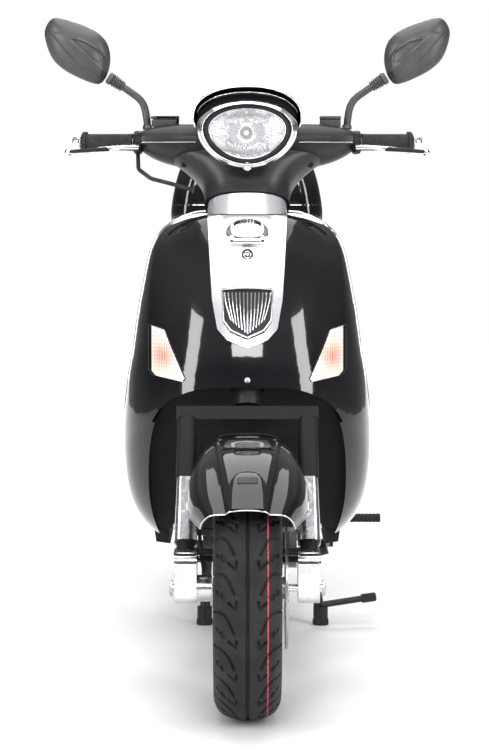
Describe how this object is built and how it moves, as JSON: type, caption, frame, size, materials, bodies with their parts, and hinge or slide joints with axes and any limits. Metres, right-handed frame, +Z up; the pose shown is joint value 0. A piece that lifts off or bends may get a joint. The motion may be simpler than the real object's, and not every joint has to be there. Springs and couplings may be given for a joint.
{
  "type": "retro motor scooter",
  "caption": "Retro step-through motor scooter on its centre stand, with turning steering and wheels, lifting seat, top box and folding stands.",
  "frame": {"origin": "on the floor under the middle of the overall box", "axes": "+Z up, the machine faces -Y, +X is its own left-hand side"},
  "size_m": [0.8094, 1.9736, 1.2857],
  "materials": {
    "black_tube": "black powder coat",
    "gloss_black": "gloss black body panel",
    "matte_black": "grained black moulding",
    "chrome_trim": "polished chrome",
    "polished_alloy": "polished cast alloy",
    "engine_alloy": "cast alloy",
    "steel": "ground steel",
    "exhaust_steel": "heat-proof black with a bright guard",
    "tyre": "tread rubber",
    "soft_rubber": "moulded rubber",
    "mirror_glass": "silvered glass",
    "clear_lens": "clear lens",
    "red_lens": "red lens",
    "seat_cover": "black grained vinyl",
    "plate_white": "blank white plate"
  },
  "bodies": {
    "frame": {"main_frame": "black_tube", "leg_shield": "gloss_black", "front_panel": "gloss_black", "centre_strip": "chrome_trim", "front_grille": "chrome_trim", "steering_collar": "chrome_trim", "front_indicators": "clear_lens", "knee_panel": "matte_black", "wheel_well": "matte_black", "floorboard": "matte_black", "rear_cowl": "gloss_black", "storage_bucket": "matte_black", "carrier_rack": "black_tube", "top_box_base": "matte_black", "engine": "engine_alloy", "belt_case": "engine_alloy", "air_filter": "matte_black", "exhaust": "exhaust_steel", "swing_arm": "engine_alloy", "rear_shocks": "steel", "rear_mudguard": "matte_black", "number_plate": "plate_white", "rear_lamps": "red_lens", "kick_starter": "steel"},
    "steering": {"fork": "steel", "fork_lowers": "polished_alloy", "fork_covers": "matte_black", "front_fender": "gloss_black", "brake_caliper": "engine_alloy", "headlight_shell": "gloss_black", "headlight_lens": "clear_lens", "instrument_dial": "matte_black", "cowl_lower": "matte_black", "cowl_upper": "gloss_black", "handlebar": "steel", "grips": "soft_rubber", "brake_controls": "matte_black", "mirrors": "matte_black", "mirror_glasses": "mirror_glass", "control_cables": "soft_rubber"},
    "front_wheel": {"front_tyre": "tyre", "front_rim": "polished_alloy", "brake_disc": "steel"},
    "rear_wheel": {"rear_tyre": "tyre", "rear_rim": "polished_alloy"},
    "seat": {"seat_cushion": "seat_cover", "seat_pan": "matte_black"},
    "top_box_lid": {"top_box_lid": "gloss_black"},
    "centre_stand": {"centre_stand": "black_tube"},
    "side_stand": {"side_stand": "black_tube"}
  },
  "joints": [
    {"name": "steering_turn", "type": "hinge", "parent": "frame", "child": "steering", "pos_m": [0, -0.56228, 0.53696], "axis": [0, 0.4462, 0.8949], "range_deg": [-38, 38]},
    {"name": "front_wheel_spin", "type": "hinge", "parent": "steering", "child": "front_wheel", "pos_m": [0, -0.75, 0.2365], "axis": [-1, 0, 0], "continuous": true},
    {"name": "rear_wheel_spin", "type": "hinge", "parent": "frame", "child": "rear_wheel", "pos_m": [0, 0.54, 0.2485], "axis": [-1, 0, 0], "continuous": true},
    {"name": "seat_hinge", "type": "hinge", "parent": "frame", "child": "seat", "pos_m": [0, -0.112, 0.752], "axis": [1, 0, 0], "range_deg": [0, 65]},
    {"name": "top_box_lid_hinge", "type": "hinge", "parent": "frame", "child": "top_box_lid", "pos_m": [0, 0.6, 0.905], "axis": [1, 0, 0], "range_deg": [0, 75]},
    {"name": "centre_stand_pivot", "type": "hinge", "parent": "frame", "child": "centre_stand", "pos_m": [0, 0.215, 0.196], "axis": [1, 0, 0], "range_deg": [0, 70]},
    {"name": "side_stand_pivot", "type": "hinge", "parent": "frame", "child": "side_stand", "pos_m": [0.152, -0.19, 0.226], "axis": [-0.957, 0.0279, -0.2886], "range_deg": [0, 93.1]}
  ]
}
